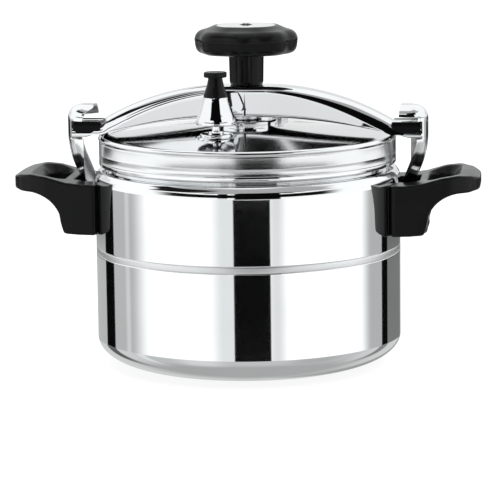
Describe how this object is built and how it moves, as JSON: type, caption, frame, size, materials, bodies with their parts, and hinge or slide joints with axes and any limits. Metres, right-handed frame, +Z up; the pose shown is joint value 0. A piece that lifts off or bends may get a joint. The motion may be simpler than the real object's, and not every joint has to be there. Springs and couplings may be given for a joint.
{
  "type": "pressure cooker",
  "caption": "Round polished metal pressure cooker with black loop handles, side hooks and an arched beam that a top knob screws down onto the lid; a lift-off weight sits on the vent.",
  "frame": {"origin": "middle of the base, on the table", "axes": "+Z up along the pot's axis; +X along the line of the two handles; +Y completes the right-handed frame, with the vent weight on the -Y side"},
  "size_m": [0.374, 0.245, 0.2722],
  "materials": {
    "pot_body": "mirror polished",
    "hook_left": "mirror polished",
    "hook_right": "mirror polished",
    "hook_rivets": "satin",
    "handle_left": "gloss moulded",
    "handle_right": "gloss moulded",
    "handle_nuts": "zinc plated",
    "handle_washers": "zinc plated",
    "handle_screws": "zinc plated",
    "lid_shell": "mirror polished",
    "gasket": "moulded",
    "pressure_pad": "polished",
    "pad_rivets": "satin",
    "vent_pipe": "turned and plated",
    "vent_nut": "plated",
    "valve_body": "turned",
    "valve_nut": "plated",
    "valve_cap": "turned",
    "valve_spring": "drawn wire",
    "valve_plunger": "turned",
    "weight_body": "turned and plated",
    "weight_knob": "gloss moulded",
    "weight_pin": "turned",
    "beam": "mirror polished",
    "beam_bush": "turned",
    "foot": "turned",
    "foot_ring": "sprung wire",
    "spindle": "turned and threaded",
    "knob_hub": "gloss moulded",
    "knob": "gloss moulded",
    "knob_insert": "spun satin",
    "knob_screw": "blackened",
    "knob_washer": "plated"
  },
  "bodies": {
    "pot": {"pot_body": "pot_body", "hook_left": "hook_left", "hook_right": "hook_right", "hook_rivets": "hook_rivets", "handle_left": "handle_left", "handle_right": "handle_right", "handle_nuts": "handle_nuts", "handle_washers": "handle_washers", "handle_screws": "handle_screws"},
    "lid": {"lid_shell": "lid_shell", "gasket": "gasket", "pressure_pad": "pressure_pad", "pad_rivets": "pad_rivets", "vent_pipe": "vent_pipe", "vent_nut": "vent_nut", "valve_body": "valve_body", "valve_nut": "valve_nut", "valve_cap": "valve_cap", "valve_spring": "valve_spring"},
    "relief_plunger": {"valve_plunger": "valve_plunger"},
    "weight": {"weight_body": "weight_body", "weight_knob": "weight_knob", "weight_pin": "weight_pin"},
    "beam": {"beam": "beam", "beam_bush": "beam_bush"},
    "foot": {"foot": "foot", "foot_ring": "foot_ring"},
    "knob": {"spindle": "spindle", "knob_hub": "knob_hub", "knob": "knob", "knob_insert": "knob_insert", "knob_screw": "knob_screw", "knob_washer": "knob_washer"}
  },
  "joints": [
    {"name": "lid_turn", "type": "hinge", "parent": "pot", "child": "lid", "pos_m": [0, 0, 0.163], "axis": [0, 0, 1], "continuous": true},
    {"name": "beam_swing", "type": "hinge", "parent": "lid", "child": "beam", "pos_m": [0, 0, 0.2], "axis": [0, 0, 1], "range_deg": [-70, 30]},
    {"name": "foot_lift", "type": "slide", "parent": "beam", "child": "foot", "axis": [0, 0, 1], "range_m": [0, 0.006]},
    {"name": "knob_turn", "type": "hinge", "parent": "foot", "child": "knob", "pos_m": [0, 0, 0.2], "axis": [0, 0, 1], "range_deg": [0, 720]},
    {"name": "weight_lift", "type": "slide", "parent": "lid", "child": "weight", "axis": [0, 0, 1], "range_m": [0, 0.016]},
    {"name": "relief_lift", "type": "slide", "parent": "lid", "child": "relief_plunger", "axis": [0, 0, 1], "range_m": [0, 0.002], "stiffness_N_per_m": 900, "springref_m": -0.0015, "deforming": ["valve_spring"]}
  ],
  "couplings": [
    {"joint": "foot_lift", "follows": "knob_turn", "m_per_rad": 0.000477}
  ]
}
